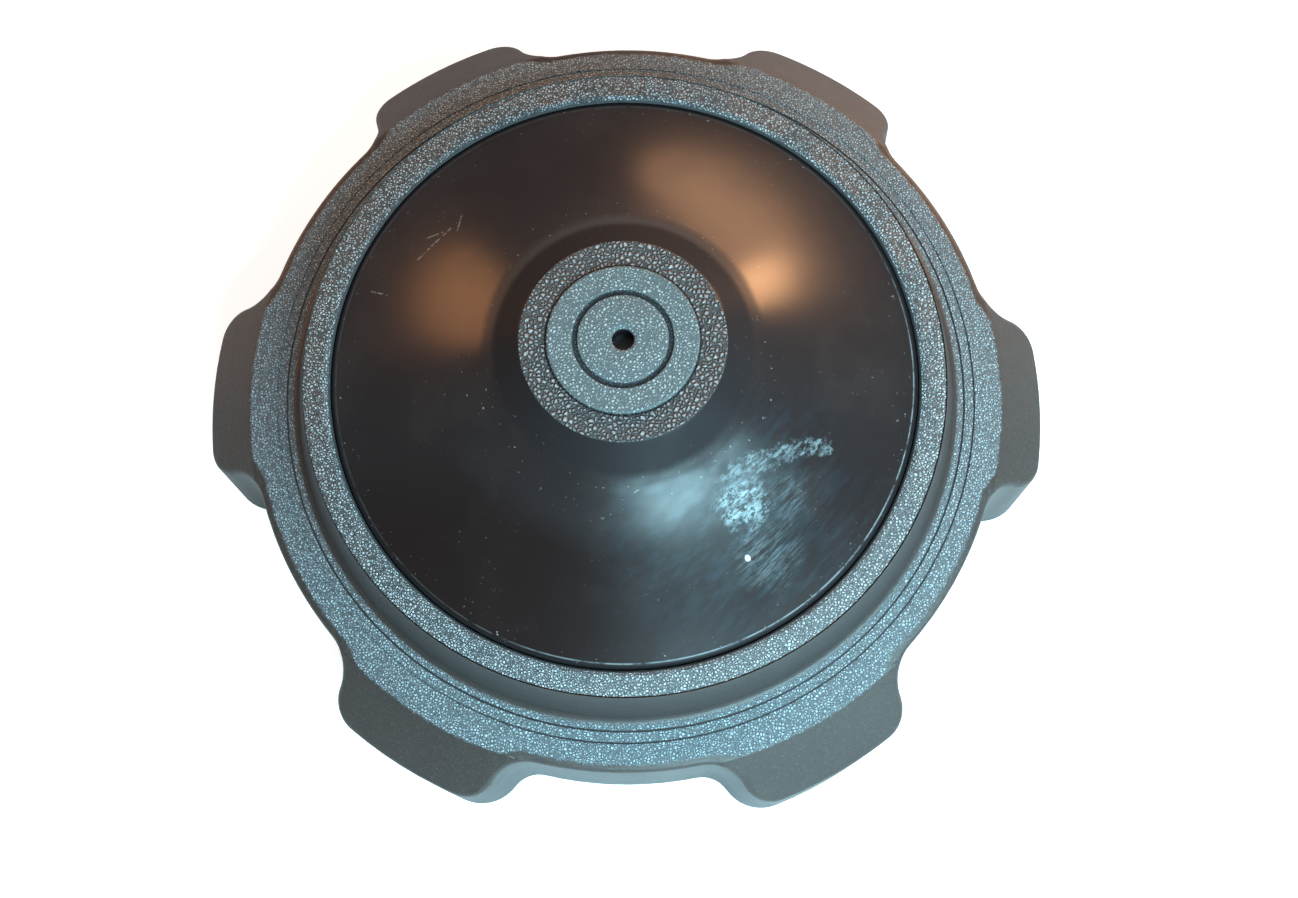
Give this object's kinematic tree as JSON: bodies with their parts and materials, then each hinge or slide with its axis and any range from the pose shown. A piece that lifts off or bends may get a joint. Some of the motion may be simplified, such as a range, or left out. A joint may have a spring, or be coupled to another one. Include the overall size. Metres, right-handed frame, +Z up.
{
  "type": "fuel filler cap",
  "caption": "Screw-on vented fuel filler cap: lobed textured grip shell, glossy dished dome with a round boss and vent hole, flat neck gasket and spring-loaded vent valves inside.",
  "frame": {"origin": "centre of the skirt's bottom plane, on the cap's axis", "axes": "+Z up along the cap's axis towards the boss; +X through the middle of one grip lobe"},
  "size_m": [0.1106, 0.1034, 0.0421],
  "materials": {
    "grip_plastic": "moulded, fine pebble grain on the deck and rim, satin walls",
    "dome_plastic": "glossy black moulding",
    "valve_plastic": "natural acetal",
    "cover_plastic": "satin black moulding",
    "seal_rubber": "matt nitrile rubber",
    "slip_film": "smooth natural polyethylene",
    "filter_foam": "open-cell foam",
    "spring_steel": "drawn stainless wire and stampings"
  },
  "bodies": {
    "cap": {"grip_shell": "grip_plastic", "dome_insert": "dome_plastic", "dome_seal": "seal_rubber", "vent_baffle": "cover_plastic", "vent_cover": "cover_plastic", "vent_filter": "filter_foam", "filter_screen": "spring_steel", "spring_retainer": "spring_steel", "valve_housing": "cover_plastic", "housing_seal": "seal_rubber", "cover_screws": "spring_steel", "pressure_spring": "spring_steel", "splash_plate": "cover_plastic", "neck_gasket": "seal_rubber", "slip_washer": "slip_film"},
    "pressure_valve_group": {"pressure_valve": "valve_plastic", "valve_seal": "seal_rubber", "vacuum_spring": "spring_steel"},
    "vacuum_valve_group": {"vacuum_poppet": "valve_plastic", "vacuum_clip": "spring_steel"}
  },
  "joints": [
    {"name": "pressure_valve_lift", "type": "slide", "parent": "cap", "child": "pressure_valve_group", "axis": [0, 0, 1], "range_m": [0, 0.002], "stiffness_N_per_m": 300, "springref_m": -0.001, "deforming": ["pressure_spring"]},
    {"name": "vacuum_valve_drop", "type": "slide", "parent": "pressure_valve_group", "child": "vacuum_valve_group", "axis": [0, 0, -1], "range_m": [0, 0.0015], "stiffness_N_per_m": 150, "springref_m": -0.001, "deforming": ["vacuum_spring"]}
  ]
}
